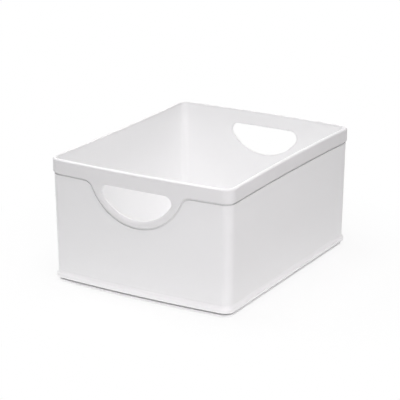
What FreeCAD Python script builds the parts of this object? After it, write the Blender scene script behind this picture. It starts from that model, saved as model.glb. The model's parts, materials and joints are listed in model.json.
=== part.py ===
"""Cabinet storage bin: an open-top tub with a collar round its rim and a stacking foot.

Millimetres, +Z up. The origin is at the middle of the footprint, on the shelf
that the bin stands on. The two hand holes are in the short ends, which face
-Y and +Y. The long sides face -X and +X.
"""
import FreeCAD
import Part
import math
import os
from FreeCAD import Vector

# Plan outline of the rim and of the base flange. The half sizes are at the
# corners; the ends curve outwards and the rim's long sides curve inwards.
rim_half_width = 127.0
rim_half_length = 155.3
rim_corner_radius = 13.4
rim_side_bow = 3.6
base_half_width = 126.0
base_half_length = 154.9
base_corner_radius = 14.4
base_side_bow = 0.0
end_bow = 4.5

# Heights above the shelf
overall_height = 158.8
collar_height = 18.2
pad_drop = 0.6
flange_underside = 5.9
floor_underside = 8.0
wall_foot_height = 16.0

# Tub
wall_thickness = 2.2
floor_thickness = 2.4
floor_corner_radius = 5.5
floor_edge_radius = 3.5
rib_width = 1.6
rib_drop = 1.6
rib_places_x = (-60.0, 0.0, 60.0)
rib_places_y = (-80.0, 0.0, 80.0)
rib_end_gap = 0.4

# Collar: it lies in a shallow rebate of the tub and stands proud of the wall
collar_proud = 1.4
rebate_depth = 1.2
shadow_gap = 2.0
bead_outer_round = 2.8
bead_skirt = 0.2

# Hand hole: a circle cut off by a level top edge, with rounded upper corners,
# and the lobe of the collar round it
hole_radius = 58.3
hole_centre_height = 159.3
hole_top_height = 139.0
hole_corner_radius = 9.0
hole_edge_radius = 0.5
lobe_radius = 67.0
lobe_blend_radius = 14.0
sleeve_thickness = 1.6
sleeve_clearance = 0.15

# Base frame
wall_foot_inset = 2.5
lip_top_height = 8.4
lip_round_radius = 4.6
lip_low_radius = 1.5
cove_radius = 3.8
upstand_height = 15.0
upstand_thickness = 0.9
seam_gap = 0.1
foot_inset = 3.6
foot_thickness = 4.0
foot_edge_radius = 0.6
line_foot_height = 2.9
line_depth = 2.4
line_edge_radius = 0.35
shelf_inset = 12.0
shelf_thickness = 2.0

# Foot pads
pad_radius = 7.0
pad_thickness = 2.6
pad_edge_radius = 0.5
pad_boss_radius = 10.0
pad_place_x = 110.0
pad_place_y = 139.0

# Snap lugs on the tub and the pockets they click into
lug_width = 14.0
lug_height = 3.2
lug_proud = 0.6
lug_root = 0.5
pocket_margin = 0.2
lug_places_y = (-95.0, 0.0, 95.0)
lug_places_x = (-95.0, 95.0)
rim_lug_height = 148.6
base_lug_height = 9.8

# Worked out from the above
collar_foot = overall_height - collar_height
bead_inner_round = collar_proud + wall_thickness - bead_outer_round
bead_spring = overall_height - bead_outer_round
bead_foot = bead_spring - bead_skirt
floor_top = floor_underside + floor_thickness
lug_rebate = wall_foot_inset + upstand_thickness
rib_low = floor_underside - rib_drop

# How far cutting shapes run: over the whole plan, and past the top
reach = 400.0
beyond = 10.0

# Where the middle of a quarter round lies, as a share of its radius from each flat
rise = 1 - math.sqrt(0.5)


class Outline:
    """A rectangle with four bowed sides and tangent corner arcs, level in plan."""

    def __init__(self, half_width, half_length, corner_radius, side_bow):
        self.half_width = half_width
        self.half_length = half_length
        self.corner_radius = corner_radius
        self.side_bow = side_bow
        self.end_radius = (half_width ** 2 + end_bow ** 2) / (2 * end_bow)
        self.end_centre = Vector(0, half_length + end_bow - self.end_radius, 0)
        if side_bow > 0:
            self.side_radius = (half_length ** 2 + side_bow ** 2) / (2 * side_bow)
            self.side_centre = Vector(half_width - side_bow + self.side_radius, 0, 0)
        self.corner_centre = self.find_corner_centre()

    def find_corner_centre(self):
        """Centre of the corner arc in the quarter where X and Y are positive."""
        from_end = self.end_radius - self.corner_radius
        if self.side_bow == 0:
            x = self.half_width - self.corner_radius
            return Vector(x, self.end_centre.y + math.sqrt(from_end ** 2 - x ** 2), 0)
        from_side = self.side_radius + self.corner_radius
        across = self.side_centre - self.end_centre
        distance = across.Length
        along = (from_end ** 2 - from_side ** 2 + distance ** 2) / (2 * distance)
        off = math.sqrt(from_end ** 2 - along ** 2)
        direction = across / distance
        normal = Vector(-direction.y, direction.x, 0)
        return self.end_centre + direction * along + normal * off

    def quarter(self, inset):
        """The corner arc's points: on the long side, in the middle, on the end."""
        centre = self.corner_centre
        radius = self.corner_radius - inset
        to_end = (centre - self.end_centre).normalize()
        to_side = Vector(1, 0, 0)
        if self.side_bow > 0:
            to_side = (self.side_centre - centre).normalize()
        to_middle = (to_end + to_side).normalize()
        return [centre + direction * radius for direction in (to_side, to_middle, to_end)]

    def segments(self, inset):
        """(start, middle, end, arc centre or None) of each edge, anticlockwise."""
        side, corner, end = self.quarter(inset)
        side_middle = Vector(self.half_width - self.side_bow - inset, 0, 0)
        end_middle = Vector(0, self.half_length + end_bow - inset, 0)
        side_centre = self.side_centre if self.side_bow > 0 else None

        def at(point, x_sign, y_sign):
            return point and Vector(point.x * x_sign, point.y * y_sign, 0)

        found = []
        for sign in (1, -1):
            found.append((at(side, sign, -sign), at(side_middle, sign, 1),
                          at(side, sign, sign), at(side_centre, sign, 1)))
            found.append((at(side, sign, sign), at(corner, sign, sign),
                          at(end, sign, sign), at(self.corner_centre, sign, sign)))
            found.append((at(end, sign, sign), at(end_middle, 1, sign),
                          at(end, -sign, sign), at(self.end_centre, 1, sign)))
            found.append((at(end, -sign, sign), at(corner, -sign, sign),
                          at(side, -sign, sign), at(self.corner_centre, -sign, sign)))
        return found

    def wire(self, height, inset=0.0):
        """The outline at a height, moved inwards by inset."""
        up = Vector(0, 0, height)
        edges = []
        for start, middle, end, centre in self.segments(inset):
            if centre is None:
                edges.append(Part.LineSegment(start + up, end + up).toShape())
            else:
                edges.append(Part.Arc(start + up, middle + up, end + up).toShape())
        return Part.Wire(edges)

    def ring(self, section):
        """The section carried once round the outline.

        The section is a closed list of (inset, height) points. A point with two
        pairs is an arc to the second pair by way of the first.
        """
        pieces = []
        for start, middle, end, centre in self.segments(0.0):
            outward = Vector(1 if start.x > 0 else -1, 0, 0)
            if centre is not None:
                outward = (start - centre).normalize()
                if outward.dot(start) < 0:
                    outward = outward * -1
            face = section_face(start, outward, section)
            if centre is None:
                pieces.append(face.extrude(end - start))
            else:
                first = start - centre
                last = end - centre
                angle = math.degrees(math.atan2(first.x * last.y - first.y * last.x, first.dot(last)))
                pieces.append(face.revolve(centre, Vector(0, 0, 1), angle))
        return pieces[0].fuse(pieces[1:]).removeSplitter()


def section_face(place, outward, section):
    """A flat face through a point of the outline, square to the outline there."""
    def at(pair):
        return place - outward * pair[0] + Vector(0, 0, pair[1])

    edges = []
    last = at(section[-1][-2:])
    for point in section:
        target = at(point[-2:])
        if len(point) == 4:
            edges.append(Part.Arc(last, at(point[:2]), target).toShape())
        else:
            edges.append(Part.LineSegment(last, target).toShape())
        last = target
    return Part.Face(Part.Wire(edges))


def slab(low, high):
    """Everything between two heights."""
    return Part.makeBox(reach, reach, high - low, Vector(-reach / 2, -reach / 2, low))


rim = Outline(rim_half_width, rim_half_length, rim_corner_radius, rim_side_bow)
base = Outline(base_half_width, base_half_length, base_corner_radius, base_side_bow)


def wall_skin(inset, low=0.0, high=overall_height + beyond):
    """A solid bounded by the tub's wall surface, moved inwards by inset.

    The wall stands upright in the base frame, leans out to the collar's foot
    and stands upright again behind the collar.
    """
    wires = [base.wire(low, wall_foot_inset + inset),
             base.wire(wall_foot_height, wall_foot_inset + inset),
             rim.wire(collar_foot, collar_proud + inset),
             rim.wire(high, collar_proud + inset)]
    return Part.makeLoft(wires, True, True)


def hole_prism(grow=0.0):
    """The hand hole's outline, moved outwards by grow and run through both ends."""
    radius = hole_radius + grow
    corner = hole_corner_radius + grow
    top = hole_top_height + grow
    corner_z = top - corner
    corner_x = math.sqrt((radius - corner) ** 2 - (hole_centre_height - corner_z) ** 2)
    lean = math.atan2(hole_centre_height - corner_z, corner_x)
    side = Vector(corner_x + corner * math.cos(lean), 0, corner_z - corner * math.sin(lean))
    turn = (math.pi / 2 - lean) / 2
    middle = Vector(corner_x + corner * math.cos(turn), 0, corner_z + corner * math.sin(turn))
    upper = Vector(corner_x, 0, top)
    lowest = Vector(0, 0, hole_centre_height - radius)
    return end_prism([("line", mirrored(upper), upper),
                      ("arc", upper, middle, side),
                      ("arc", side, lowest, mirrored(side)),
                      ("arc", mirrored(side), mirrored(middle), mirrored(upper))])


def lobe_prism(grow=0.0):
    """The part of the collar's outline that hangs below its band, round the hole."""
    radius = lobe_radius + grow
    blend = lobe_blend_radius - grow
    line_z = collar_foot - grow
    blend_z = line_z - blend
    drop = hole_centre_height - blend_z
    blend_x = math.sqrt((radius + blend) ** 2 - drop ** 2)
    on_line = Vector(blend_x, 0, line_z)
    share = radius / (radius + blend)
    on_lobe = Vector(blend_x * share, 0, hole_centre_height - drop * share)
    centre = Vector(blend_x, 0, blend_z)
    towards = ((on_line - centre) + (on_lobe - centre)).normalize()
    middle = centre + towards * blend
    lowest = Vector(0, 0, hole_centre_height - radius)
    return end_prism([("line", mirrored(on_line), on_line),
                      ("arc", on_line, middle, on_lobe),
                      ("arc", on_lobe, lowest, mirrored(on_lobe)),
                      ("arc", mirrored(on_lobe), mirrored(middle), mirrored(on_line))])


def mirrored(point):
    return Vector(-point.x, point.y, point.z)


def end_prism(edges):
    """A closed outline seen from the end, run through the whole length."""
    shapes = []
    for kind, *points in edges:
        if kind == "line":
            shapes.append(Part.LineSegment(*points).toShape())
        else:
            shapes.append(Part.Arc(*points).toShape())
    face = Part.Face(Part.Wire(shapes))
    face.translate(Vector(0, -reach / 2, 0))
    return face.extrude(Vector(0, reach, 0))


def lug_places(margin):
    """Slices of the plan that the snap lugs stand in, each widened by margin."""
    wide = lug_width + 2 * margin
    tall = overall_height
    slices = [Part.makeBox(reach, wide, tall, Vector(-reach / 2, y - wide / 2, 0))
              for y in lug_places_y]
    slices += [Part.makeBox(wide, reach, tall, Vector(x - wide / 2, -reach / 2, 0))
               for x in lug_places_x]
    return slices[0].fuse(slices[1:])


def lugs(outline, wall_inset, height, ramp_up):
    """Wedges on the wall, thin where the mating part slides on."""
    low = height
    high = height + lug_height
    thick_end = low if ramp_up else high
    thin_end = high if ramp_up else low
    section = [(wall_inset + lug_root, thin_end), (wall_inset, thin_end),
               (wall_inset - lug_proud, thick_end), (wall_inset + lug_root, thick_end)]
    return outline.ring(section).common(lug_places(0.0))


def pockets(outline, wall_inset, height):
    """Room for the lugs in the part that snaps over them."""
    low = height - pocket_margin
    high = height + lug_height + pocket_margin
    deep = wall_inset - lug_proud - pocket_margin
    section = [(wall_inset + lug_root, low), (wall_inset + lug_root, high), (deep, high), (deep, low)]
    return outline.ring(section).common(lug_places(pocket_margin))


def edges_where(shape, test):
    """The edges whose every end and middle point passes the test."""
    found = []
    for edge in shape.Edges:
        points = [edge.valueAt(edge.FirstParameter + (edge.LastParameter - edge.FirstParameter) * k / 4)
                  for k in range(5)]
        if all(test(point) for point in points):
            found.append(edge)
    return found


def make_tub():
    """Walls and floor in one moulding."""
    outer = wall_skin(0.0).common(slab(floor_underside, bead_foot))
    lower_rebate = wall_skin(0.0).cut(wall_skin(upstand_thickness))
    outer = outer.cut(lower_rebate.common(slab(0, upstand_height + seam_gap)))
    bottom = edges_where(outer, lambda point: abs(point.z - floor_underside) < 0.01)
    outer = outer.makeFillet(floor_edge_radius, bottom)

    cavity = wall_skin(wall_thickness, low=floor_top)
    bottom = edges_where(cavity, lambda point: abs(point.z - floor_top) < 0.01)
    cavity = cavity.makeFillet(floor_corner_radius, bottom)
    tub = outer.cut(cavity)

    collar_rebate = wall_skin(0.0).cut(wall_skin(rebate_depth))
    behind_collar = lobe_prism(shadow_gap).fuse(slab(collar_foot - shadow_gap, overall_height))
    tub = tub.cut(collar_rebate.common(behind_collar))
    tub = tub.cut(hole_prism(sleeve_thickness + sleeve_clearance))

    inside_frame = Part.makeLoft([base.wire(rib_low, shelf_inset + rib_end_gap),
                                  base.wire(floor_underside, shelf_inset + rib_end_gap)], True, True)
    ribs = [Part.makeBox(rib_width, reach, rib_drop, Vector(x - rib_width / 2, -reach / 2, rib_low))
            for x in rib_places_x]
    ribs += [Part.makeBox(reach, rib_width, rib_drop, Vector(-reach / 2, y - rib_width / 2, rib_low))
             for y in rib_places_y]
    tub = tub.fuse(ribs[0].fuse(ribs[1:]).common(inside_frame))

    tub = tub.fuse(lugs(rim, collar_proud + rebate_depth, rim_lug_height, True))
    tub = tub.fuse(lugs(base, lug_rebate, base_lug_height, False))
    return tub.removeSplitter()


def make_rim_collar():
    """Band, rounded top bead, and at each end a lobe whose sleeve lines the hand hole."""
    back = collar_proud + rebate_depth
    inner = collar_proud + wall_thickness
    outer = bead_outer_round
    inside = bead_inner_round
    band = rim.ring([(0.0, collar_foot),
                     (0.0, bead_spring),
                     (outer * rise, overall_height - outer * rise, outer, overall_height),
                     (inner - inside * rise, overall_height - inside * rise, inner, overall_height - inside),
                     (inner, bead_foot),
                     (back, bead_foot),
                     (back, collar_foot)])
    shell = wall_skin(-collar_proud).cut(wall_skin(rebate_depth))
    lobes = shell.common(lobe_prism()).common(slab(0, collar_foot))
    liner = wall_skin(rebate_depth / 2).cut(wall_skin(wall_thickness))
    sleeves = liner.common(hole_prism(sleeve_thickness))
    collar = band.fuse(lobes).fuse(sleeves).cut(hole_prism())
    collar = collar.cut(pockets(rim, back, rim_lug_height)).removeSplitter()

    hole_outline = hole_prism(0.05)
    outer_face_y = rim_half_length + end_bow - wall_thickness
    hole_edges = edges_where(collar, lambda point: abs(point.y) > outer_face_y
                             and hole_outline.isInside(point, 0.01, True))
    return collar.makeFillet(hole_edge_radius, hole_edges)


def make_base_frame():
    """Flared flange, the ring that the bin stands on with a shadow line above it, and the shelf."""
    cove_centre = wall_foot_inset - cove_radius
    spread = lip_round_radius - cove_centre
    reach_between = cove_radius + lip_round_radius
    cove_top = lip_top_height + math.sqrt(reach_between ** 2 - spread ** 2)
    share = cove_radius / reach_between
    meet = (cove_centre + spread * share, cove_top - (cove_top - lip_top_height) * share)
    lean = math.atan2(cove_top - lip_top_height, spread)
    lip_middle = (lip_round_radius * (1 - math.cos(lean / 2)),
                  lip_top_height + lip_round_radius * math.sin(lean / 2))
    cove_middle = (cove_centre + cove_radius * math.cos(lean / 2),
                   cove_top - cove_radius * math.sin(lean / 2))
    foot_inner = foot_inset + foot_thickness
    shelf_underside = floor_underside - shelf_thickness
    soft = foot_edge_radius
    softer = soft * rise
    low = lip_low_radius
    lower = low * rise
    fine = line_edge_radius
    finer = fine * rise
    frame = base.ring([(low, flange_underside),
                       (lower, flange_underside + lower, 0.0, flange_underside + low),
                       (0.0, lip_top_height),
                       lip_middle + meet,
                       cove_middle + (wall_foot_inset, cove_top),
                       (wall_foot_inset, upstand_height),
                       (lug_rebate, upstand_height),
                       (lug_rebate, floor_underside),
                       (shelf_inset, floor_underside),
                       (shelf_inset, shelf_underside),
                       (foot_inner, shelf_underside),
                       (foot_inner, pad_drop + soft),
                       (foot_inner - softer, pad_drop + softer, foot_inner - soft, pad_drop),
                       (foot_inset + soft, pad_drop),
                       (foot_inset + softer, pad_drop + softer, foot_inset, pad_drop + soft),
                       (foot_inset, line_foot_height - fine),
                       (foot_inset + finer, line_foot_height - finer, foot_inset + fine, line_foot_height),
                       (foot_inset + line_depth, line_foot_height),
                       (foot_inset + line_depth, flange_underside)])
    for x, y in pad_places():
        boss = Part.makeCylinder(pad_boss_radius, floor_underside - pad_drop, Vector(x, y, pad_drop))
        frame = frame.fuse(boss)
    for x, y in pad_places():
        frame = frame.cut(Part.makeCylinder(pad_radius, pad_thickness - pad_drop, Vector(x, y, pad_drop)))
    return frame.cut(pockets(base, lug_rebate, base_lug_height))


def pad_places():
    return [(x, y) for y in (-pad_place_y, pad_place_y) for x in (-pad_place_x, pad_place_x)]


def make_foot_pad(x, y):
    """A soft disc pressed into its pocket, standing a little below the foot."""
    pad = Part.makeCylinder(pad_radius, pad_thickness, Vector(x, y, 0))
    rim_edge = edges_where(pad, lambda point: abs(point.z) < 0.01)
    return pad.makeFillet(pad_edge_radius, rim_edge)


def main():
    pieces = {"tub": make_tub(), "rim_collar": make_rim_collar(), "base_frame": make_base_frame()}
    for x, y in pad_places():
        name = "foot_pad_%s_%s" % ("front" if y < 0 else "back", "left" if x < 0 else "right")
        pieces[name] = make_foot_pad(x, y)
    os.makedirs("parts", exist_ok=True)
    for name, shape in pieces.items():
        solid = shape.Solids[0]
        print("%-22s solids %d valid %s volume %.1f cm3 size %s" % (
            name, len(shape.Solids), solid.isValid(), solid.Volume / 1000,
            [round(length, 2) for length in
             (solid.BoundBox.XLength, solid.BoundBox.YLength, solid.BoundBox.ZLength)]))
        solid.exportStep("parts/%s.step" % name)


main()
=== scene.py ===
"""Looks of the cabinet storage bin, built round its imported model.

Lengths are millimetres until a mesh is made, and metres for the studio floor and the
lamps. +Z is up, and the origin is at the middle of the footprint on the shelf. The hand
holes are in the ends that face -Y and +Y.
"""
import json
import math

import bmesh
import bpy
import numpy as np
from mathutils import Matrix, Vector

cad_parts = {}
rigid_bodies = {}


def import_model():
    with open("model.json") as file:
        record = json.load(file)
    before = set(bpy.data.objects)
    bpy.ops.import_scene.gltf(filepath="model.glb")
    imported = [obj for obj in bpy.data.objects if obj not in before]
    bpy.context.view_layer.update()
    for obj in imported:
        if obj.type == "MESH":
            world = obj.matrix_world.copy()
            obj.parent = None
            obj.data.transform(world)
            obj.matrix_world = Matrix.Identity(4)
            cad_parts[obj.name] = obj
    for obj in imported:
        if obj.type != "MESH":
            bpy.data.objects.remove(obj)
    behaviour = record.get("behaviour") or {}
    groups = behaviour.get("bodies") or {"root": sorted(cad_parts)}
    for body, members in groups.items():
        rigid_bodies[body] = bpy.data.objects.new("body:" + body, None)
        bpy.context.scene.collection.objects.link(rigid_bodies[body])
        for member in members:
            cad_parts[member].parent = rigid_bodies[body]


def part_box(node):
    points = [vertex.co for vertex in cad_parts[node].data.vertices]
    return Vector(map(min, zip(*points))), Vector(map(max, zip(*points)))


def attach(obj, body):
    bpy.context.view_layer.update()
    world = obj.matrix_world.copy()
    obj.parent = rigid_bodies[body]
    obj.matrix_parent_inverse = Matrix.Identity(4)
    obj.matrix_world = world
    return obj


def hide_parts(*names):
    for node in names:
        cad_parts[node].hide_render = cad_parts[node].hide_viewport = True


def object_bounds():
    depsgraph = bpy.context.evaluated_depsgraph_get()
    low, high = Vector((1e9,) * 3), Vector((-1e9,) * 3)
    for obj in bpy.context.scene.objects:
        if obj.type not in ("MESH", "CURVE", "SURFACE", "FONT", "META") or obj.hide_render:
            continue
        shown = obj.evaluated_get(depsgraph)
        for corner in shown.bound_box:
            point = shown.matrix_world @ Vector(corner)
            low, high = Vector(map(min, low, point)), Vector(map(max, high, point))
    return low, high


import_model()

cad_low, cad_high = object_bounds()

# Tub
# The walls and the floor are one injection moulding in glossy white polypropylene.
# The walls stand upright in the base frame, lean out to the collar and stand upright
# again behind it. One quarter is laid out, where X and Y are positive, and mirrored.
metre = 0.001
bin_top = cad_high.z / metre
bead_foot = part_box("tub")[1].z / metre
end_bow = 4.5
rim_plan = {"half_width": 127.0, "half_length": 155.3, "corner_radius": 13.4, "side_bow": 3.6}
base_plan = {"half_width": 126.0, "half_length": 154.9, "corner_radius": 14.4, "side_bow": 0.0}
wall_to_rim = 1.4
wall_to_base = 2.5
wall_foot = 16.0
collar_foot = bin_top - 18.2
wall_thickness = 2.2
rebate_depth = 1.2
shadow_gap = 2.0
upstand_top = 15.0
upstand_thickness = 0.9
seam_gap = 0.1
floor_underside = 8.0
floor_top = 10.4
floor_edge_radius = 3.5
floor_corner_radius = 5.5
arris = 0.12
fine_arris = 0.05

side_steps = 12
corner_steps = 14
end_steps = 3
lean_steps = 4
round_steps = 4


def steps(start, stop, count):
    return np.linspace(start, stop, count + 1)


def end_circle(plan):
    """The bowed end's radius, and the Y of its centre."""
    radius = (plan["half_width"] ** 2 + end_bow ** 2) / (2 * end_bow)
    return radius, plan["half_length"] + end_bow - radius


def on_end(plan, inset, x):
    """Y of a bowed end at the given X, moved in by inset."""
    radius, centre_y = end_circle(plan)
    return centre_y + np.sqrt((radius - inset) ** 2 - x ** 2)


def plan_columns(plan, inset, zone_x):
    """Points round a quarter of the outline: long side, corner, end, and the given X places."""
    width, length = plan["half_width"], plan["half_length"]
    radius, bow = plan["corner_radius"], plan["side_bow"]
    end_radius, end_y = end_circle(plan)
    if bow:
        side_radius = (length ** 2 + bow ** 2) / (2 * bow)
        side_x = width - bow + side_radius
        gap = math.hypot(side_x, end_y)
        along = ((end_radius - radius) ** 2 - (side_radius + radius) ** 2 + gap ** 2) / (2 * gap)
        off = math.sqrt((end_radius - radius) ** 2 - along ** 2)
        centre_x = (side_x * along + end_y * off) / gap
        centre_y = end_y + (side_x * off - end_y * along) / gap
        side_lean = math.atan2(-centre_y, side_x - centre_x)
    else:
        centre_x = width - radius
        centre_y = end_y + math.sqrt((end_radius - radius) ** 2 - centre_x ** 2)
        side_lean = 0.0
    end_lean = math.atan2(centre_y - end_y, centre_x)

    side_y = steps(0.0, centre_y + (radius - inset) * math.sin(side_lean), side_steps)
    if bow:
        side = np.column_stack([side_x - np.sqrt((side_radius + inset) ** 2 - side_y ** 2), side_y])
    else:
        side = np.column_stack([np.full(len(side_y), width - inset), side_y])
    turn = steps(side_lean, end_lean, corner_steps)[1:]
    corner = np.column_stack([centre_x + (radius - inset) * np.cos(turn),
                              centre_y + (radius - inset) * np.sin(turn)])
    end_x = np.concatenate([steps(corner[-1, 0], zone_x[0], end_steps)[1:], zone_x[1:]])
    end = np.column_stack([end_x, on_end(plan, inset, end_x)])
    return np.vstack([side, corner, end])


def lean_share(z):
    """How far up the leaning part of the wall a height is: 0 at its foot, 1 behind the collar."""
    return np.clip((z - wall_foot) / (collar_foot - wall_foot), 0.0, 1.0)


def wall_row(z, inset, zone_x):
    """A row round the quarter on the wall's outer surface, moved in by inset."""
    low = plan_columns(base_plan, wall_to_base + inset, zone_x)
    high = plan_columns(rim_plan, wall_to_rim + inset, zone_x)
    heights = np.broadcast_to(np.asarray(z, float), (len(low),))
    plan = low + (high - low) * lean_share(heights)[:, None]
    return np.column_stack([plan, heights])


def on_end_wall(places, inset):
    """(x, z) places on the end wall's outer surface, moved in by inset."""
    x, z = places[:, 0], places[:, 1]
    low = on_end(base_plan, wall_to_base + inset, x)
    high = on_end(rim_plan, wall_to_rim + inset, x)
    return np.column_stack([x, low + (high - low) * lean_share(z), z])


# Hand hole: a circle cut off by a level top, with rounded upper corners. The collar
# hangs round it as a lobe that runs out into the band with a blend.
hole_radius = 58.3
hole_centre = 159.3
hole_top = 139.0
hole_corner = 9.0
lobe_radius = 67.0
blend_radius = 14.0
sleeve_thickness = 1.6
sleeve_clearance = 0.05
corner_z = hole_top - hole_corner
corner_x = math.sqrt((hole_radius - hole_corner) ** 2 - (hole_centre - corner_z) ** 2)
hole_lean = math.atan2(hole_centre - corner_z, corner_x)
blend_z = collar_foot - blend_radius
blend_x = math.sqrt((lobe_radius + blend_radius) ** 2 - (hole_centre - blend_z) ** 2)
blend_lean = math.atan2(hole_centre - blend_z, blend_x)

arc_steps = 14
rest_steps = 3
blend_steps = 6
band_steps = 3
top_steps = 10
fan_steps = rest_steps + blend_steps + band_steps
ring_shares = (0.0, 0.3, 1.0)


def arc(centre, radius, turn):
    return np.column_stack([centre[0] + radius * np.cos(turn), centre[1] + radius * np.sin(turn)])


def hole_loop(grow):
    """Half of the hand hole's outline in (x, z), from its lowest point to the middle of its top."""
    low = arc((0, hole_centre), hole_radius + grow, steps(-math.pi / 2, -hole_lean, arc_steps))
    corner = arc((corner_x, corner_z), hole_corner + grow, steps(-hole_lean, math.pi / 2, fan_steps)[1:])
    across = steps(corner_x, 0.0, top_steps)[1:]
    return np.vstack([low, corner, np.column_stack([across, np.full(top_steps, hole_top + grow)])])


def lobe_line(grow):
    """Half of the collar's lower edge in (x, z), from the lobe's lowest point to the band."""
    low = arc((0, hole_centre), lobe_radius + grow, steps(-math.pi / 2, -hole_lean, arc_steps))
    rest = arc((0, hole_centre), lobe_radius + grow, steps(-hole_lean, -blend_lean, rest_steps)[1:])
    blend = arc((blend_x, blend_z), blend_radius - grow,
                steps(math.pi - blend_lean, math.pi / 2, blend_steps)[1:])
    return np.vstack([low, rest, blend])


def edge_row(grow, inset):
    """A row along the collar's whole lower edge: round the quarter, then round the lobe."""
    band = wall_row(collar_foot - grow, inset, [blend_x])
    return np.vstack([band, on_end_wall(lobe_line(grow)[::-1][1:], inset)])


def up_and_over(start, top):
    """Up the end zone's edge from the start height to the top, then level to the middle, in (x, z)."""
    edge = np.column_stack([np.full(len(start), blend_x), start])
    across = steps(blend_x, 0.0, top_steps)[1:]
    return np.vstack([edge, np.column_stack([across, np.full(top_steps, top)])])


def between(first, last, shares):
    return [first + (last - first) * share for share in shares]


def turned_edge(start, stop, across_first, count=round_steps):
    """(across, deep) pairs of a quarter round from start to stop, setting out across or deep."""
    turn = steps(0.0, math.pi / 2, count)
    fast, slow = np.sin(turn), 1 - np.cos(turn)
    across, deep = (fast, slow) if across_first else (slow, fast)
    return [(start[0] + (stop[0] - start[0]) * a, start[1] + (stop[1] - start[1]) * d)
            for a, d in zip(across, deep)]


def wall_round(start, stop, across_first, zone_x, count=round_steps):
    """Wall rows of a quarter round from one (inset, z) to another, without the first row."""
    return [wall_row(z, inset, zone_x) for inset, z in turned_edge(start, stop, across_first, count)[1:]]


def hole_round(start, stop, across_first, count=round_steps):
    """Loops of a quarter round of the hand hole from one (grow, inset) to another."""
    return [on_end_wall(hole_loop(grow), inset)
            for grow, inset in turned_edge(start, stop, across_first, count)]


def moulding(name, sheets, zips=(), mirror=True):
    """Makes one closed mesh from sheets of points and from pairs of rows zipped by triangles."""
    points, faces = [], []

    def place(array, flip):
        start = sum(len(part) for part in points)
        points.append(array.reshape(-1, 3) * flip)
        return start

    signs = [(1, 1, 1), (-1, 1, 1), (1, -1, 1), (-1, -1, 1)] if mirror else [(1, 1, 1)]
    for flip in signs:
        for sheet in sheets:
            sheet = np.array(sheet)
            rows, columns = sheet.shape[:2]
            start = place(sheet, flip)
            for row in range(rows - 1):
                for column in range(columns - 1):
                    corner = start + row * columns + column
                    faces.append((corner, corner + 1, corner + columns + 1, corner + columns))
        for first, last in zips:
            a, b = place(first, flip), place(last, flip)
            i = j = 0
            while i < len(first) - 1 or j < len(last) - 1:
                if j == len(last) - 1 or (i < len(first) - 1 and
                                          (i + 1) / (len(first) - 1) <= (j + 1) / (len(last) - 1)):
                    faces.append((a + i, a + i + 1, b + j))
                    i += 1
                else:
                    faces.append((a + i, b + j + 1, b + j))
                    j += 1
    mesh = bpy.data.meshes.new(name)
    mesh.from_pydata((np.vstack(points) * metre).tolist(), [], faces)
    return finish_mesh(name, mesh)


def finish_mesh(name, mesh):
    """Welds a mesh, turns its faces outwards, keeps hard corners hard and shades the rest smooth."""
    weld = 2e-6
    hard_corner = math.radians(40)
    work = bmesh.new()
    work.from_mesh(mesh)
    bmesh.ops.remove_doubles(work, verts=work.verts, dist=weld)
    bmesh.ops.dissolve_degenerate(work, edges=work.edges, dist=weld)
    bmesh.ops.recalc_face_normals(work, faces=work.faces)
    for face in work.faces:
        face.smooth = True
    for edge in work.edges:
        edge.smooth = len(edge.link_faces) == 2 and edge.calc_face_angle(0) < hard_corner
    work.to_mesh(mesh)
    work.free()
    piece = bpy.data.objects.new(name, mesh)
    bpy.context.scene.collection.objects.link(piece)
    weighted = piece.modifiers.new("flat_faces_lead", "WEIGHTED_NORMAL")
    weighted.mode = "FACE_AREA"
    weighted.weight = 60
    weighted.keep_sharp = True
    return piece


# Outer skin: from the collar's shadow line down to the base frame, in under its upstand
# and round to the underside.
gap_corner = 0.2
line_x = lobe_line(shadow_gap + gap_corner)[::-1, 0]
shadow_edge = turned_edge((shadow_gap + gap_corner, 0.0), (shadow_gap, gap_corner), False)
shadow_step = [edge_row(grow, inset) for grow, inset in shadow_edge]
shadow_step.append(edge_row(shadow_gap, rebate_depth))
wall_top = shadow_step[0]
outer_skin = []
for share in steps(0.0, 1.0, lean_steps):
    outer_skin.append(wall_row(wall_top[:, 2] + (wall_foot - wall_top[:, 2]) * share, 0.0, line_x))
tub_foot = upstand_top + seam_gap
outer_skin.append(wall_row(tub_foot + fine_arris, 0.0, line_x))
outer_skin += wall_round((0.0, tub_foot + fine_arris), (fine_arris, tub_foot), False, line_x)
outer_skin.append(wall_row(tub_foot, upstand_thickness, line_x))
under_spring = floor_underside + floor_edge_radius
under_edge = upstand_thickness + floor_edge_radius
outer_skin.append(wall_row(under_spring, upstand_thickness, line_x))
outer_skin += wall_round((upstand_thickness, under_spring), (under_edge, floor_underside), False, line_x)

# Rebated face behind the collar, with the hand hole cut through it
hole_grow = sleeve_thickness + sleeve_clearance
rebate_x = steps(blend_x, 0.0, top_steps)
band_heights = steps(collar_foot - shadow_gap, bead_foot, band_steps)
rebate_band = [wall_row(z, rebate_depth, [blend_x]) for z in band_heights]
rebate_outer = np.vstack([lobe_line(shadow_gap), up_and_over(band_heights, bead_foot)[1:]])
rebate_face = [on_end_wall(loop, rebate_depth)
               for loop in between(hole_loop(hole_grow), rebate_outer, ring_shares)]

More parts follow.
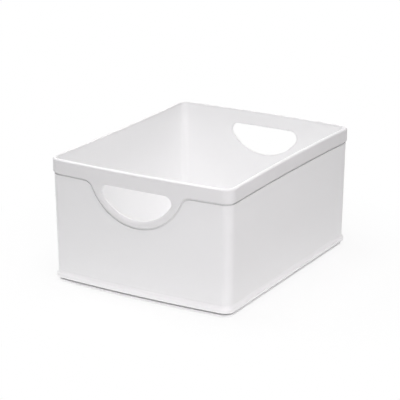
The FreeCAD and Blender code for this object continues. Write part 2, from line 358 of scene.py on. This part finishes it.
# Top edge, inner skin with the hole's ring, and the round down to the floor
ring_foot = 76.0
ring_top = bead_foot - arris
top_edge = [wall_row(bead_foot, inset, rebate_x) for inset in (rebate_depth, wall_thickness - arris)]
top_edge += wall_round((wall_thickness - arris, bead_foot), (wall_thickness, ring_top), True, rebate_x)
ring_heights = steps(ring_foot, ring_top, fan_steps)
inner_band = [wall_row(z, wall_thickness, [blend_x]) for z in ring_heights]
inner_x = steps(blend_x, 0.0, arc_steps)
inner_outer = np.vstack([np.column_stack([inner_x[::-1], np.full(arc_steps + 1, ring_foot)]),
                         up_and_over(ring_heights, ring_top)[1:]])
inner_face = [on_end_wall(loop, wall_thickness)
              for loop in between(hole_loop(hole_grow + fine_arris), inner_outer, ring_shares)]
hole_wall = [on_end_wall(hole_loop(hole_grow), rebate_depth)]
hole_wall += hole_round((hole_grow, wall_thickness - fine_arris),
                        (hole_grow + fine_arris, wall_thickness), False)
floor_spring = floor_top + floor_corner_radius
floor_edge = wall_thickness + floor_corner_radius
inner_skin = [wall_row(z, wall_thickness, inner_x) for z in steps(ring_foot, floor_spring, lean_steps)]
inner_skin += wall_round((wall_thickness, floor_spring), (floor_edge, floor_top), False, inner_x)


def even_grid(x_lines, y_lines, edge_y, height):
    """A sheet over the quarter's plan whose last Y line follows the bowed end."""
    rows = []
    for share in y_lines:
        rows.append(np.column_stack([x_lines, share * edge_y, np.full(len(x_lines), height)]))
    return rows


def sheet_border(sheet):
    """The outer border of a plan sheet, along X's far side and back along the end."""
    sheet = np.array(sheet)
    return np.vstack([sheet[:, -1], sheet[-1, ::-1][1:]])


field_inset = 18.0
field_x = steps(0.0, base_plan["half_width"] - field_inset, 12)
field_y = steps(0.0, 1.0, 14)
floor_sheet = even_grid(field_x, field_y, on_end(base_plan, field_inset, field_x), floor_top)

# Ribs under the floor: three each way, level with each other, ending short of the shelf
rib_drop = 1.6
rib_half = 0.8
rib_places_x = (0.0, 60.0)
rib_places_y = (0.0, 80.0)
rib_field_inset = 12.4
rib_field_bays = 8
rib_clear = 4.0
rib_end = 0.3

# Half of a rib's section: how far out from its middle, and the share of its drop there
rib_profile = ((0.0, 1.0), (0.5, 1.0), (0.7, 0.94), (rib_half, 0.8), (rib_half + 0.03, 0.2),
               (rib_half + 0.12, 0.06), (rib_half + 0.3, 0.0))


def rib_lines(places, far):
    """Lines across a field of ribs, and how much of the rib's drop each line has."""
    found = {0.0: 0.0, far - rib_end: 0.0, far: 0.0}
    for gap_line in steps(0.0, far, rib_field_bays)[1:-1]:
        if min(abs(gap_line - place) for place in places) > rib_clear:
            found[gap_line] = 0.0
    for place in places:
        for off, share in rib_profile:
            for line in (place - off, place + off):
                if line >= 0:
                    found[line] = share
    lines = sorted(found)
    return np.array(lines), np.array([found[line] for line in lines])


rib_far_x = base_plan["half_width"] - rib_field_inset
rib_x, drop_x = rib_lines(rib_places_x, rib_far_x)
rib_far_y = float(on_end(base_plan, rib_field_inset, rib_far_x))
rib_y, drop_y = rib_lines(rib_places_y, rib_far_y)
stretch = on_end(base_plan, rib_field_inset, rib_x) / rib_far_y
bow_start = 90.0
rib_sheet = []
for row, y in enumerate(rib_y):
    last_bay = max(0.0, (y - bow_start) / (rib_far_y - bow_start))
    drop = np.maximum(drop_x, drop_y[row])
    drop[-1] = 0.0
    if row == len(rib_y) - 1:
        drop[:] = 0.0
    rib_sheet.append(np.column_stack([rib_x, y * (1 + (stretch - 1) * last_bay),
                                      floor_underside - rib_drop * drop]))

tub = moulding("tub_moulding",
               [outer_skin, shadow_step, rebate_band, rebate_face, top_edge, inner_band, inner_face,
                hole_wall, inner_skin, floor_sheet, rib_sheet],
               [(inner_skin[-1], sheet_border(floor_sheet)), (outer_skin[-1], sheet_border(rib_sheet))])
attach(tub, "root")
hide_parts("tub")


def node_group(name, inputs, outputs):
    """A shader node group with named sockets, and its input and output nodes."""
    group = bpy.data.node_groups.new(name, "ShaderNodeTree")
    for label, kind, value in inputs:
        socket = group.interface.new_socket(label, in_out="INPUT", socket_type="NodeSocket" + kind)
        socket.default_value = value
    for label, kind in outputs:
        group.interface.new_socket(label, in_out="OUTPUT", socket_type="NodeSocket" + kind)
    return group, group.nodes.new("NodeGroupInput"), group.nodes.new("NodeGroupOutput")


def add(tree, kind, settings=None, **values):
    """A node in the tree, with its settings and with a value or a link for each named input."""
    node = tree.nodes.new("ShaderNode" + kind)
    for key, value in (settings or {}).items():
        setattr(node, key, value)
    for key, value in values.items():
        name = int(key[1:]) if key[0] == "n" and key[1:].isdigit() else key.replace("_", " ")
        if isinstance(value, bpy.types.NodeSocket):
            tree.links.new(value, node.inputs[name])
        else:
            node.inputs[name].default_value = value
    return node


def calculate(tree, operation, first, second=0.0, third=0.0):
    return add(tree, "Math", {"operation": operation}, n0=first, n1=second, n2=third).outputs[0]


def noise(tree, size, detail, seed):
    """Solid noise from 0 to 1 with lumps about size millimetres across; each seed gives another."""
    place = add(tree, "NewGeometry").outputs["Position"]
    away = Vector((1.0, 2.3, 0.7)) * seed
    moved = add(tree, "VectorMath", {"operation": "ADD"}, n0=place, n1=away)
    scale = calculate(tree, "DIVIDE", 1 / metre, size)
    grain = add(tree, "TexNoise", Vector=moved.outputs[0], Scale=scale, Detail=detail)
    return grain.outputs["Fac"]


# Mould surface: the slow ripple of a wall that shrank as it cooled, and the fine grain of
# the polished steel. It puts out a normal.
mould_surface, given, made = node_group(
    "mould_surface",
    [("Ripple Size", "Float", 40.0), ("Ripple Depth", "Float", 0.05),
     ("Grain Size", "Float", 0.8), ("Grain Depth", "Float", 0.002)],
    [("Normal", "Vector")])
ripple = noise(mould_surface, given.outputs["Ripple Size"], detail=1.0, seed=0.31)
ripple_depth = calculate(mould_surface, "MULTIPLY", given.outputs["Ripple Depth"], metre)
ripple_bump = add(mould_surface, "Bump", Height=ripple, Distance=ripple_depth)
grain = noise(mould_surface, given.outputs["Grain Size"], detail=2.0, seed=0.77)
grain_depth = calculate(mould_surface, "MULTIPLY", given.outputs["Grain Depth"], metre)
grain_bump = add(mould_surface, "Bump", Height=grain, Distance=grain_depth, Normal=ripple_bump.outputs[0])
mould_surface.links.new(grain_bump.outputs[0], made.inputs["Normal"])

# Handling: dull smears left by hands. It puts out a roughness.
handling, given, made = node_group(
    "handling",
    [("Roughness", "Float", 0.25), ("Smear", "Float", 0.05)],
    [("Roughness", "Float")])
smears = noise(handling, size=45.0, detail=3.0, seed=1.9)
rough = calculate(handling, "MULTIPLY_ADD", smears, given.outputs["Smear"], given.outputs["Roughness"])
handling.links.new(rough, made.inputs["Roughness"])

# Resin: white pigment that never mixes quite evenly. It puts out a colour.
resin, given, made = node_group(
    "resin",
    [("Color", "Color", (0.8, 0.8, 0.8, 1)), ("Drift", "Float", 0.02)],
    [("Color", "Color")])
cloud = calculate(resin, "SUBTRACT", noise(resin, size=70.0, detail=2.0, seed=4.2), 0.5)
drift = calculate(resin, "MULTIPLY_ADD", cloud, given.outputs["Drift"], 1.0)
tinted = add(resin, "VectorMath", {"operation": "SCALE"}, n0=given.outputs["Color"], Scale=drift)
resin.links.new(tinted.outputs[0], made.inputs["Color"])


def darkened(tree, colour, mask, strength):
    """The colour with up to a share of strength taken off where the mask is 1, as painted shade."""
    taken = calculate(tree, "MULTIPLY", mask, strength)
    kept = calculate(tree, "SUBTRACT", 1.0, taken)
    return add(tree, "VectorMath", {"operation": "SCALE"}, n0=colour, Scale=kept).outputs[0]


# Painted line shade: the colour darkened between two heights, as painted shade in a shadow line. It puts out
# a colour.
painted_line_shade, given, made = node_group(
    "painted_line_shade",
    [("Color", "Color", (0.8, 0.8, 0.8, 1)), ("Low", "Float", 0.0), ("High", "Float", 0.0),
     ("Shade", "Float", 0.0)],
    [("Color", "Color")])
line_fade = 0.3
up = add(painted_line_shade, "SeparateXYZ", n0=add(painted_line_shade, "NewGeometry").outputs["Position"]).outputs["Z"]
height = calculate(painted_line_shade, "DIVIDE", up, metre)
above = add(painted_line_shade, "MapRange", Value=height, From_Min=given.outputs["Low"],
            From_Max=calculate(painted_line_shade, "ADD", given.outputs["Low"], line_fade))
below = add(painted_line_shade, "MapRange", Value=height, From_Max=given.outputs["High"],
            From_Min=calculate(painted_line_shade, "SUBTRACT", given.outputs["High"], line_fade),
            To_Min=1.0, To_Max=0.0)
line_shade_mask = calculate(painted_line_shade, "MULTIPLY", above.outputs[0], below.outputs[0])
greyed = darkened(painted_line_shade, given.outputs["Color"], line_shade_mask, given.outputs["Shade"])
painted_line_shade.links.new(greyed, made.inputs["Color"])

# Painted crease shade: the colour darkened where ambient occlusion finds narrow grooves, such as the line
# under the collar, as painted shade. It puts out a colour.
painted_crease_shade, given, made = node_group(
    "painted_crease_shade",
    [("Color", "Color", (0.8, 0.8, 0.8, 1)), ("Reach", "Float", 3.0), ("Shade", "Float", 0.0)],
    [("Color", "Color")])
closed_in = 0.25
opened_out = 0.85
reach = calculate(painted_crease_shade, "MULTIPLY", given.outputs["Reach"], metre)
openness = add(painted_crease_shade, "AmbientOcclusion", {"samples": 8}, Distance=reach)
sheltered = add(painted_crease_shade, "MapRange", Value=openness.outputs["AO"], From_Min=closed_in,
                From_Max=opened_out, To_Min=1.0, To_Max=0.0)
greyed = darkened(painted_crease_shade, given.outputs["Color"], sheltered.outputs[0], given.outputs["Shade"])
painted_crease_shade.links.new(greyed, made.inputs["Color"])


def use_group(tree, group, **values):
    node = tree.nodes.new("ShaderNodeGroup")
    node.node_tree = group
    for key, value in values.items():
        node.inputs[key.replace("_", " ")].default_value = value
    return node


plastic_ior = 1.49


def plastic(name, colour, roughness, gloss=0.5, painted_shade=None, smear=0.05, grain_depth=0.002):
    """Moulded plastic or soft rubber, fed by the groups; a group that paints shade into the colour can be
    given with its values.
    """
    material = bpy.data.materials.new(name)
    material.use_nodes = True
    tree = material.node_tree
    shader = tree.nodes["Principled BSDF"]
    shader.inputs["IOR"].default_value = plastic_ior
    shader.inputs["Specular IOR Level"].default_value = gloss
    pigment = use_group(tree, resin, Color=colour).outputs["Color"]
    if painted_shade:
        group, values = painted_shade
        shaded_pigment = use_group(tree, group, **values)
        tree.links.new(pigment, shaded_pigment.inputs["Color"])
        pigment = shaded_pigment.outputs["Color"]
    wear = use_group(tree, handling, Roughness=roughness, Smear=smear)
    surface = use_group(tree, mould_surface, Grain_Depth=grain_depth)
    tree.links.new(pigment, shader.inputs["Base Color"])
    tree.links.new(wear.outputs["Roughness"], shader.inputs["Roughness"])
    tree.links.new(surface.outputs["Normal"], shader.inputs["Normal"])
    return material


# Painted shade: the tub and the collar are darkened in narrow grooves where ambient occlusion finds them.
groove_shade = (painted_crease_shade, {"Shade": 0.25})
tub.data.materials.append(plastic("tub_white", (0.897, 0.899, 0.9, 1), roughness=0.28, painted_shade=groove_shade))

# Rim collar
# A separate moulding in the same plastic, pressed over the tub's rim: a band with a
# rounded top bead, and at each end a lobe whose sleeve lines the hand hole.
bead_outer_round = 2.8
bead_inner_round = 0.8
bead_spring = bin_top - bead_outer_round
collar_edge = 1.8
hole_edge = 0.35
sleeve_arris = 0.3
face_out = -wall_to_rim
band_lines = steps(collar_foot + collar_edge, bead_spring, band_steps)
collar_band = [wall_row(z, face_out, [blend_x]) for z in band_lines]
collar_outer = np.vstack([lobe_line(-collar_edge), up_and_over(band_lines, bead_spring)[1:]])

# The lobe's face dips towards the hole, and the dip dies out where the lobe runs into the band.
lobe_dip = 1.5
dip_width = 0.75
fade_steps = rest_steps + blend_steps
dip_along = lobe_dip * np.concatenate([np.ones(arc_steps + 1), steps(1.0, 0.0, fade_steps)[1:],
                                       np.zeros(band_steps + top_steps)])
face_shares = (0.0, 0.15, 0.3, 0.45, 0.6, 0.75, 1.0)
collar_face = []
for share, loop in zip(face_shares, between(hole_loop(hole_edge), collar_outer, face_shares)):
    dip = dip_along * max(0.0, 1 - share / dip_width) ** 2
    collar_face.append(on_end_wall(loop, face_out + dip))
lower_edge = [edge_row(grow, inset) for grow, inset in
              turned_edge((-collar_edge, face_out), (0.0, face_out + collar_edge), True)]
lower_edge.append(edge_row(0.0, rebate_depth))
bead = [wall_row(bead_spring, face_out, rebate_x)]
bead += wall_round((face_out, bead_spring), (face_out + bead_outer_round, bin_top), False, rebate_x,
                   count=2 * round_steps)
bead += wall_round((wall_thickness - bead_inner_round, bin_top),
                   (wall_thickness, bin_top - bead_inner_round), True, rebate_x)
bead.append(wall_row(bead_foot + arris, wall_thickness, rebate_x))
bead += wall_round((wall_thickness, bead_foot + arris), (wall_thickness - arris, bead_foot), False, rebate_x)
bead.append(wall_row(bead_foot, rebate_depth, rebate_x))
back_lines = steps(collar_foot, bead_foot, band_steps)
collar_back_band = [wall_row(z, rebate_depth, [blend_x]) for z in back_lines]
back_outer = np.vstack([lobe_line(0.0), up_and_over(back_lines, bead_foot)[1:]])
collar_back = [on_end_wall(loop, rebate_depth)
               for loop in between(hole_loop(sleeve_thickness), back_outer, ring_shares)]
dipped_face = face_out + dip_along
sleeve = hole_round((hole_edge, dipped_face), (0.0, dipped_face + hole_edge), True, count=2 * round_steps)
sleeve += hole_round((0.0, wall_thickness - sleeve_arris), (sleeve_arris, wall_thickness), False)
sleeve.append(on_end_wall(hole_loop(sleeve_thickness), wall_thickness))
sleeve.append(on_end_wall(hole_loop(sleeve_thickness), rebate_depth))
collar = moulding("rim_collar_moulding",
                  [collar_band, collar_face, lower_edge, bead, collar_back_band, collar_back, sleeve])
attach(collar, "root")
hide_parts("rim_collar")
collar.data.materials.append(plastic("collar_white", (0.868, 0.867, 0.869, 1), roughness=0.5, gloss=0.1,
                                     painted_shade=groove_shade))

# Base frame
# A moulded ring that snaps on under the tub: a coved flange with a rounded lip, an inset
# foot that nests in the rim of a bin below, a shelf under the floor and four pad bosses.
lip_top = 8.4
lip_round = 4.6
lip_low_round = 1.5
cove_radius = 3.8
flange_underside = 5.9
foot_low = 0.6
foot_inset = 3.6
foot_thickness = 4.0
foot_round = 0.6
line_depth = 2.4
line_foot = 2.9
shelf_inset = 12.0
shelf_thickness = 2.0
boss_radius = 10.0
pad_radius = 7.0
pad_seat = 2.6
pad_x = 110.0
pad_y = 139.0


def profile_arc(centre, radius, start, stop, count):
    """(inset, z) points of an arc in the section; angles are from the inward direction, upwards."""
    turn = steps(math.radians(start), math.radians(stop), count)
    return [(centre[0] + radius * math.cos(a), centre[1] + radius * math.sin(a)) for a in turn]


cove_centre_inset = wall_to_base - cove_radius
cove_rise = math.sqrt((cove_radius + lip_round) ** 2 - (lip_round - cove_centre_inset) ** 2)
cove_top = lip_top + cove_rise
cove_lean = math.degrees(math.atan2(cove_rise, lip_round - cove_centre_inset))
shelf_low = floor_underside - shelf_thickness
foot_inner = foot_inset + foot_thickness
lug_rebate = wall_to_base + upstand_thickness
line_round = 0.3
section = [(wall_to_base, upstand_top - fine_arris), (wall_to_base, cove_top)]
section += profile_arc((cove_centre_inset, cove_top), cove_radius, 0, -cove_lean, 2 * round_steps)[1:]
section += profile_arc((lip_round, lip_top), lip_round, 180 - cove_lean, 180, round_steps)[1:]
lip_low_centre = (lip_low_round, flange_underside + lip_low_round)
section += profile_arc(lip_low_centre, lip_low_round, 180, 270, round_steps)
section += [(foot_inset + line_depth, flange_underside), (foot_inset + line_depth, line_foot)]
section += profile_arc((foot_inset + line_round, line_foot - line_round), line_round, 90, 180, round_steps)
section += profile_arc((foot_inset + foot_round, foot_low + foot_round), foot_round, 180, 270, round_steps)
section += profile_arc((foot_inner - foot_round, foot_low + foot_round), foot_round, 270, 360, round_steps)
section += [(foot_inner, shelf_low)]
section += profile_arc((shelf_inset - arris, shelf_low + arris), arris, 270, 360, round_steps)
section += profile_arc((shelf_inset - arris, floor_underside - arris), arris, 0, 90, round_steps)
section += [(lug_rebate, floor_underside), (lug_rebate, upstand_top - arris)]
section += profile_arc((lug_rebate - arris, upstand_top - arris), arris, 0, 90, round_steps)[1:]
upstand_edge = (wall_to_base + fine_arris, upstand_top - fine_arris)
section += profile_arc(upstand_edge, fine_arris, 90, 180, round_steps)
frame_rows = []
for inset, z in section:
    row = plan_columns(base_plan, inset, steps(blend_x, 0.0, top_steps))
    frame_rows.append(np.column_stack([row, np.full(len(row), z)]))
base_frame = moulding("base_frame_moulding", [frame_rows])


def turned_piece(name, profile, centre, around=48):
    """A piece turned about an upright axis from (radius, z) points that start and end on the axis."""
    turn = steps(0.0, 2 * math.pi, around)
    rows = [np.column_stack([centre[0] + radius * np.cos(turn), centre[1] + radius * np.sin(turn),
                             np.full(around + 1, z)]) for radius, z in profile]
    return moulding(name, [rows], mirror=False)


boss_recess = 0.02
boss_low = foot_low + boss_recess
boss_top = floor_underside - boss_recess
boss_profile = [(0.0, boss_top), (boss_radius, boss_top)]
boss_edge = (boss_radius - foot_round, boss_low + foot_round)
boss_profile += profile_arc(boss_edge, foot_round, 0, -90, round_steps)
boss_profile += profile_arc((pad_radius + arris, boss_low + arris), arris, 270, 180, round_steps)
boss_profile += [(pad_radius, pad_seat), (0.0, pad_seat)]
corners = {"front_left": (-pad_x, -pad_y), "front_right": (pad_x, -pad_y),
           "back_left": (-pad_x, pad_y), "back_right": (pad_x, pad_y)}
for place in corners.values():
    boss = turned_piece("boss", boss_profile, place)
    union = base_frame.modifiers.new("boss", "BOOLEAN")
    union.operation = "UNION"
    union.solver = "EXACT"
    union.object = boss
bpy.context.view_layer.update()
joined = base_frame.evaluated_get(bpy.context.evaluated_depsgraph_get())
joined_mesh = bpy.data.meshes.new_from_object(joined)
for spare in [piece for piece in bpy.data.objects if piece.name.startswith("boss")] + [base_frame]:
    bpy.data.objects.remove(spare)
base_frame = finish_mesh("base_frame_moulding", joined_mesh)
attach(base_frame, "root")
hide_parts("base_frame")
base_frame.data.materials.clear()
# Painted shade: the base frame is darkened in the shadow line between the line's foot and the flange's
# underside.
line_spread = 0.1
flange_line_shade = (painted_line_shade, {"Low": line_foot - line_spread, "High": flange_underside + line_spread,
                         "Shade": 0.45})
base_frame.data.materials.append(plastic("base_white", (0.945, 0.944, 0.947, 1), roughness=0.28,
                                         painted_shade=flange_line_shade))

# Foot pads
# Four soft discs of pale rubber, pressed into the bosses, that stand a little below the
# foot ring so that the bin doesn't slide on a shelf.
pad_round = 0.5
groove_radius = 5.1
groove_foot_half = 0.3
groove_top_half = 0.1
groove_depth = 0.25
pad_profile = [(0.0, 0.0), (groove_radius - groove_foot_half, 0.0),
               (groove_radius - groove_top_half, groove_depth),
               (groove_radius + groove_top_half, groove_depth), (groove_radius + groove_foot_half, 0.0)]
pad_profile += profile_arc((pad_radius - pad_round, pad_round), pad_round, 270, 360, round_steps)
pad_profile += [(pad_radius, pad_seat), (0.0, pad_seat)]
rubber = plastic("pad_rubber", (0.58, 0.58, 0.57, 1), roughness=0.62, grain_depth=0.01)
for name, place in corners.items():
    pad = turned_piece("foot_pad_" + name + "_disc", pad_profile, place)
    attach(pad, "root")
    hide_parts("foot_pad_" + name)
    pad.data.materials.append(rubber)

# Floor, light and camera
# A white sweep that the camera and the gloss see as plain white, apart from the shadow
# close to the bin, and soft lamps that light the object at a plain level.
floor_half = 6.0
floor_mesh = bpy.data.meshes.new("studio_floor")
floor_corners = [(x * floor_half, y * floor_half, 0) for x, y in ((-1, -1), (1, -1), (1, 1), (-1, 1))]
floor_mesh.from_pydata(floor_corners, [], [(0, 1, 2, 3)])
studio_floor = bpy.data.objects.new("studio_floor", floor_mesh)
bpy.context.scene.collection.objects.link(studio_floor)


def seen_directly(tree):
    """1 for camera, glossy and transmission rays, and 0 for the rays that carry light."""
    path = add(tree, "LightPath").outputs
    direct = calculate(tree, "MAXIMUM", path["Is Camera Ray"], path["Is Glossy Ray"])
    return calculate(tree, "MAXIMUM", direct, path["Is Transmission Ray"])


sweep = bpy.data.materials.new("studio_sweep")
sweep.use_nodes = True
tree = sweep.node_tree
paint = tree.nodes["Principled BSDF"]
paint.inputs["Base Color"].default_value = (0.9, 0.9, 0.9, 1)
paint.inputs["Roughness"].default_value = 0.9
shadow_near = 0.15
shadow_far = 0.35
glow_by_bin = 0.8
on_floor = add(tree, "NewGeometry").outputs["Position"]
off_centre = add(tree, "VectorMath", {"operation": "LENGTH"}, n0=on_floor)
whiteness = add(tree, "MapRange", Value=off_centre.outputs["Value"], From_Min=shadow_near,
                From_Max=shadow_far, To_Min=glow_by_bin, To_Max=1.0)
glow_share = calculate(tree, "MULTIPLY", seen_directly(tree), whiteness.outputs[0])
both = add(tree, "MixShader", n0=glow_share, n1=paint.outputs[0], n2=add(tree, "Emission").outputs[0])
tree.links.new(both.outputs[0], tree.nodes["Material Output"].inputs["Surface"])
floor_mesh.materials.append(sweep)

world = bpy.data.worlds.new("studio")
bpy.context.scene.world = world
world.use_nodes = True
tree = world.node_tree
sky = tree.nodes["Background"]
sky.inputs["Color"].default_value = (1, 1, 1, 1)
sky.inputs["Strength"].default_value = 0.12
backdrop = add(tree, "MixShader", n0=seen_directly(tree), n1=sky.outputs[0],
               n2=add(tree, "Background", Color=(1, 1, 1, 1), Strength=1.0).outputs[0])
tree.links.new(backdrop.outputs[0], tree.nodes["World Output"].inputs["Surface"])


def soft_lamp(name, place, aim, size, power, tint=(1.0, 1.0, 1.0), in_gloss=True):
    """A soft box that the camera doesn't see."""
    lamp = bpy.data.lights.new(name, "AREA")
    lamp.shape = "RECTANGLE"
    lamp.size, lamp.size_y = size
    lamp.energy = power
    lamp.color = tint
    holder = bpy.data.objects.new(name, lamp)
    holder.location = place
    holder.rotation_euler = (Vector(aim) - Vector(place)).to_track_quat("-Z", "Y").to_euler()
    holder.visible_camera = False
    holder.visible_glossy = in_gloss
    bpy.context.scene.collection.objects.link(holder)


bin_middle = (0.0, 0.0, 0.08)
cool_tint = (0.97, 0.96, 1.0)
soft_lamp("overhead", (0.0, 0.03, 1.0), (0.0, 0.0, 0.0), size=(0.7, 0.7), power=5.3)
soft_lamp("right_side", (0.5, -0.3, 0.9), bin_middle, size=(0.5, 0.5), power=2.2, tint=(1.0, 0.93, 0.95))
soft_lamp("high_front", (0.5, -0.8, 1.4), bin_middle, size=(0.9, 0.9), power=1.0, tint=cool_tint)
soft_lamp("behind_camera", (1.0, -1.5, 1.3), bin_middle, size=(0.8, 0.8), power=7.5,
          tint=(0.99, 0.965, 1.0))
soft_lamp("near_corner", (0.6, -0.9, 0.6), bin_middle, size=(0.4, 0.4), power=1.05)
soft_lamp("near_front", (0.3, -0.95, 0.55), bin_middle, size=(0.4, 0.4), power=0.35, tint=cool_tint)
soft_lamp("left_window", (-1.3, -0.1, 1.0), bin_middle, size=(0.9, 0.9), power=8.0)
soft_lamp("table_glow", (0.0, 0.0, 0.0005), (0.0, 0.0, 1.0), size=(0.34, 0.40), power=0.13, in_gloss=False)

azimuth = math.radians(30.74)
elevation = math.radians(18.448)
distance_back = 2034.1
aim_height = 73.7
shift_right = -5.63
shift_up = 7.51
focal_pixels = 1609.8
photo_pixels = 400
back = Vector((math.sin(azimuth) * math.cos(elevation), -math.cos(azimuth) * math.cos(elevation),
               math.sin(elevation)))
right = Vector((math.cos(azimuth), math.sin(azimuth), 0.0))
target = Vector((0, 0, aim_height)) + right * shift_right + back.cross(right) * shift_up
camera_data = bpy.data.cameras.new("photo_view")
camera_data.sensor_width = 36.0
camera_data.lens = camera_data.sensor_width * focal_pixels / photo_pixels
camera_data.clip_end = 50.0
camera = bpy.data.objects.new("photo_view", camera_data)
camera.location = (target + back * distance_back) * metre
camera.rotation_euler = (-back).to_track_quat("-Z", "Y").to_euler()
bpy.context.scene.collection.objects.link(camera)
bpy.context.scene.camera = camera
bpy.context.scene.view_settings.view_transform = "Standard"
